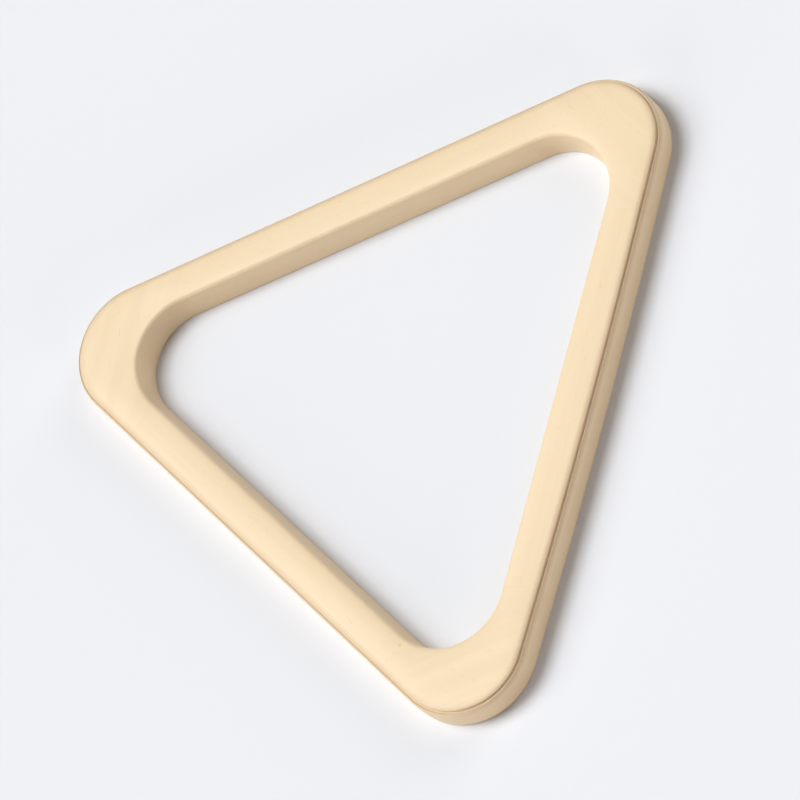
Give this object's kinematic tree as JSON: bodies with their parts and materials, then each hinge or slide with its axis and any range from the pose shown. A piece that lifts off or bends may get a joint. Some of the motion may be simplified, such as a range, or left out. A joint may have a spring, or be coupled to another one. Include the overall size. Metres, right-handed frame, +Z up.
{
  "type": "triangle ball rack",
  "caption": "Flat wooden triangle rack for pool balls: straight rails dowelled between rounded corner blocks, with a narrow groove along the rounded outer edge.",
  "frame": {"origin": "middle of the rack's footprint, on the surface that it lies on", "axes": "+Z up out of the table, +Y from the base rail towards the apex, +X towards the right corner"},
  "size_m": [0.3586, 0.323, 0.018],
  "materials": {
    "rack_wood": "pale close-grained hardwood, sanded smooth, satin clear lacquer",
    "dowel_wood": "fluted beech dowel, unfinished"
  },
  "bodies": {
    "root": {"apex_corner": "rack_wood", "base_rail": "rack_wood", "base_rail_left_inner_dowel": "dowel_wood", "base_rail_left_outer_dowel": "dowel_wood", "base_rail_right_inner_dowel": "dowel_wood", "base_rail_right_outer_dowel": "dowel_wood", "left_corner": "rack_wood", "left_rail": "rack_wood", "left_rail_apex_inner_dowel": "dowel_wood", "left_rail_apex_outer_dowel": "dowel_wood", "left_rail_left_inner_dowel": "dowel_wood", "left_rail_left_outer_dowel": "dowel_wood", "right_corner": "rack_wood", "right_rail": "rack_wood", "right_rail_apex_inner_dowel": "dowel_wood", "right_rail_apex_outer_dowel": "dowel_wood", "right_rail_right_inner_dowel": "dowel_wood", "right_rail_right_outer_dowel": "dowel_wood"}
  },
  "joints": []
}
